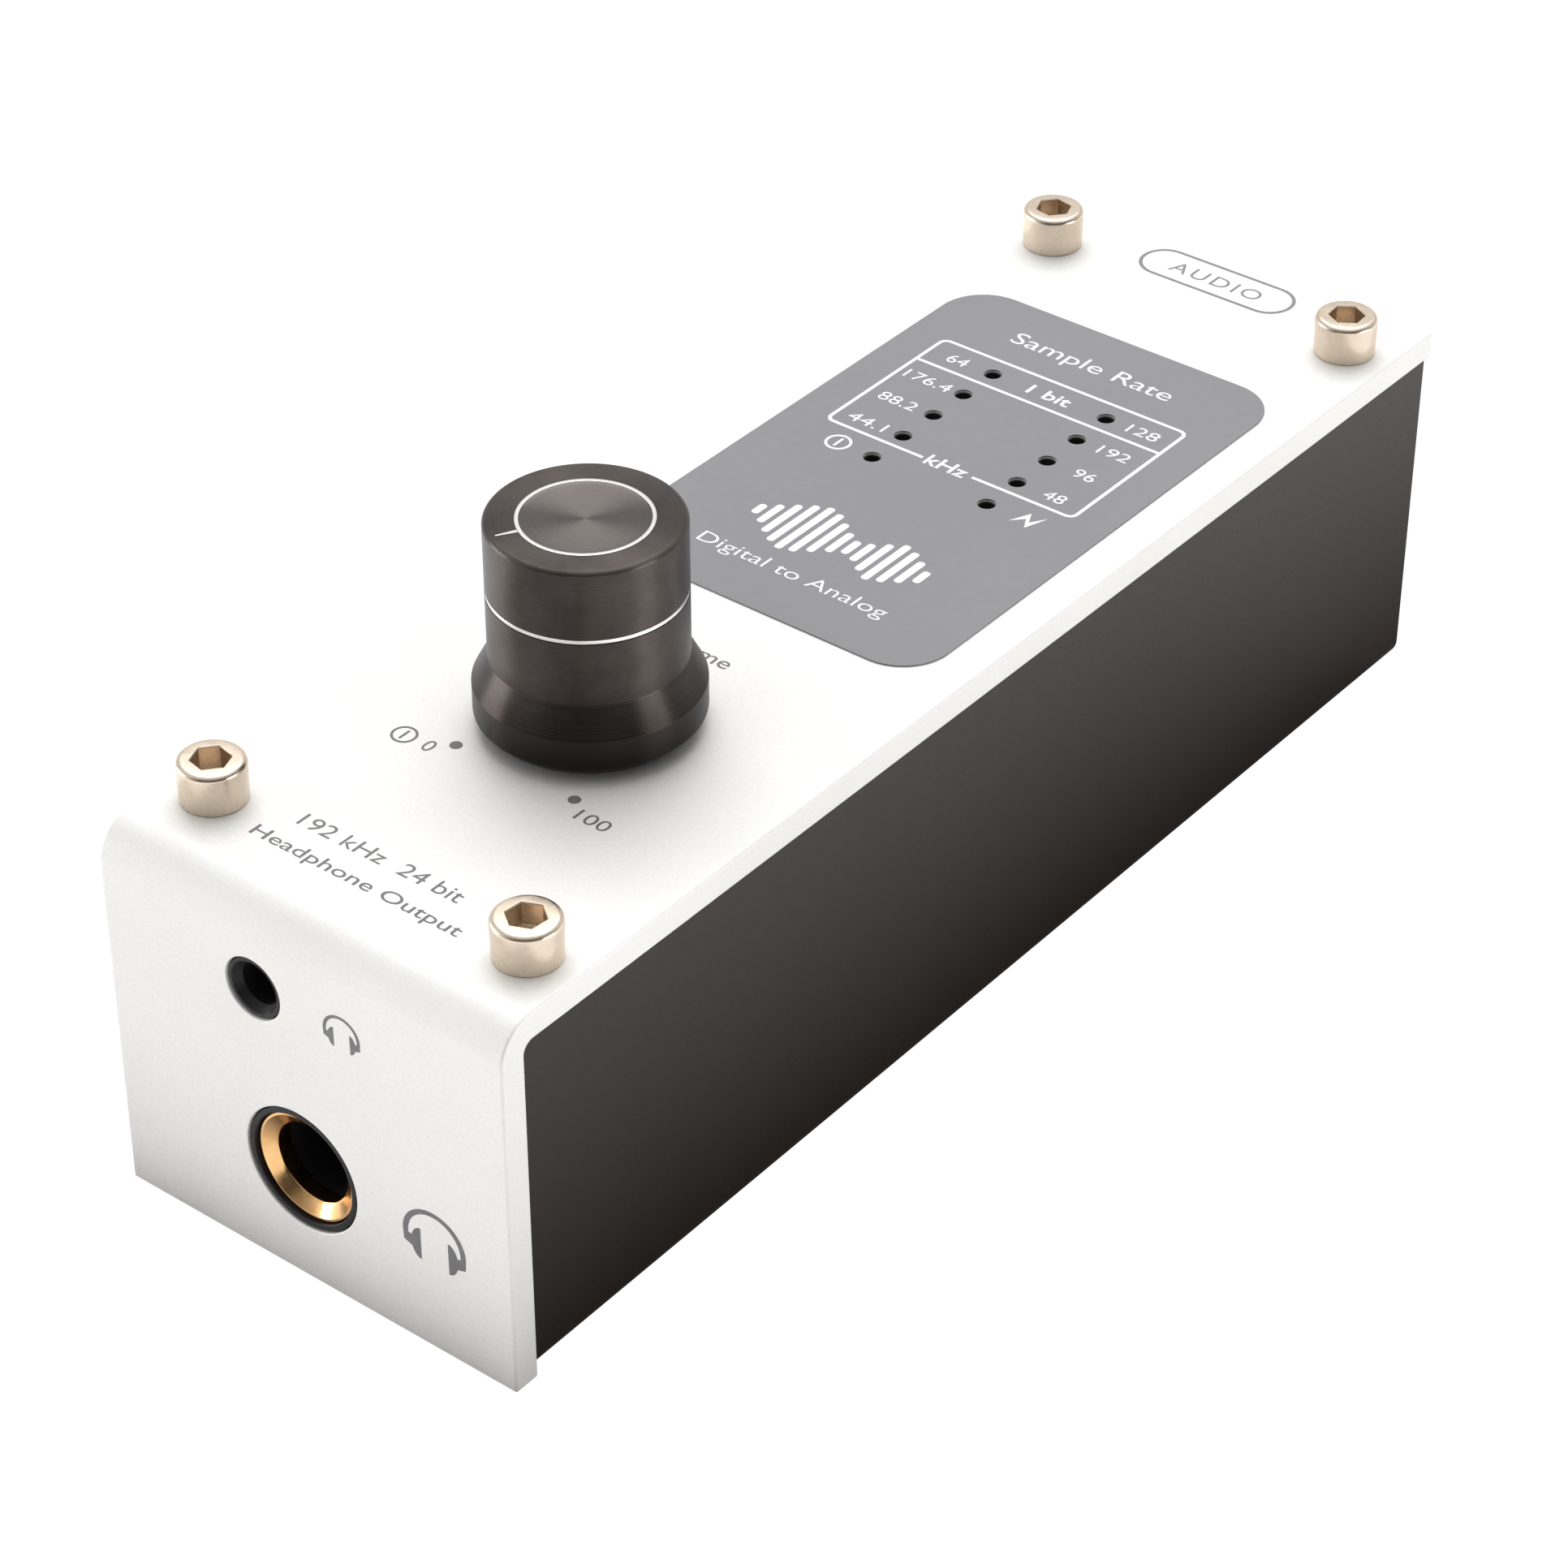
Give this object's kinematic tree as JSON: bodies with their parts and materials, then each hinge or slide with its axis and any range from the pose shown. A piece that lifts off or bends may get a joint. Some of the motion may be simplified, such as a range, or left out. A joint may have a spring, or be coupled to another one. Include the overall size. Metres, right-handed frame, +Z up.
{
  "type": "desktop dac",
  "caption": "Slim desktop DAC and headphone amplifier in a silver and black metal case, with a turned volume knob, indicator LEDs, front headphone sockets and rear USB input.",
  "frame": {"origin": "middle of the footprint, at the underside of the rubber feet", "axes": "+Z up, +X to the right when facing the front panel, front panel towards -Y, case length along Y"},
  "size_m": [0.04, 0.1242, 0.054],
  "materials": {
    "silver_aluminium": "fine bead-blasted, clear anodised silver",
    "black_case": "fine bead-blasted, black anodised sheet",
    "grey_film": "satin grey printed film",
    "screw_nickel": "warm nickel plated, satin with bright edges",
    "black_steel": "black oxide",
    "tinned_metal": "tinned, satin",
    "brass": "turned brass",
    "gold_plate": "gold plated, polished",
    "foot_rubber": "matt black rubber",
    "circuit_board": "green solder mask",
    "black_plastic": "moulded black plastic",
    "white_plastic": "moulded white plastic",
    "led_lens": "milky lens, not lit",
    "foam": "closed-cell foam tape",
    "battery_foil": "laminated foil, satin",
    "knob_black": "turned, black anodised, diamond-cut silver lines"
  },
  "bodies": {
    "case": {"top_cover": "silver_aluminium", "label_overlay": "grey_film", "chassis": "black_case", "cover_screw_front_left": "screw_nickel", "cover_screw_front_right": "screw_nickel", "cover_screw_rear_left": "screw_nickel", "cover_screw_rear_right": "screw_nickel", "base_screw_front_left": "black_steel", "base_screw_front_right": "black_steel", "base_screw_rear_left": "black_steel", "base_screw_rear_right": "black_steel", "board_spacer_front_left": "tinned_metal", "board_spacer_front_right": "tinned_metal", "board_spacer_rear_left": "tinned_metal", "board_spacer_rear_right": "tinned_metal", "lower_standoff_front_left": "brass", "lower_standoff_front_right": "brass", "lower_standoff_rear_left": "brass", "lower_standoff_rear_right": "brass", "upper_standoff_front_left": "brass", "upper_standoff_front_right": "brass", "upper_standoff_rear_left": "brass", "upper_standoff_rear_right": "brass", "foot_front_left": "foot_rubber", "foot_front_right": "foot_rubber", "foot_rear_left": "foot_rubber", "foot_rear_right": "foot_rubber", "main_board": "circuit_board", "upper_board": "circuit_board", "headphone_jack_635_body": "black_plastic", "headphone_jack_635_bushing": "gold_plate", "headphone_jack_35_body": "black_plastic", "line_out_jack_body": "black_plastic", "usb_socket_shell": "tinned_metal", "usb_socket_tongue": "white_plastic", "led_left_1": "led_lens", "led_left_2": "led_lens", "led_left_3": "led_lens", "led_left_4": "led_lens", "led_left_5": "led_lens", "led_right_1": "led_lens", "led_right_2": "led_lens", "led_right_3": "led_lens", "led_right_4": "led_lens", "led_right_5": "led_lens", "led_holder_left": "black_plastic", "led_holder_right": "black_plastic", "battery_pad": "foam", "battery_cell": "battery_foil", "board_header": "black_plastic", "usb_receiver_chip": "black_plastic", "dac_chip": "black_plastic", "output_capacitor_left": "battery_foil", "output_capacitor_right": "battery_foil", "potentiometer_body": "tinned_metal", "potentiometer_washer": "tinned_metal", "potentiometer_nut": "tinned_metal"},
    "knob": {"volume_knob": "knob_black", "knob_grub_screw": "black_steel", "potentiometer_shaft": "tinned_metal"}
  },
  "joints": [
    {"name": "volume_turn", "type": "hinge", "parent": "case", "child": "knob", "pos_m": [0, -0.0285, 0.0462], "axis": [0, 0, 1], "range_deg": [-300, 0]}
  ]
}
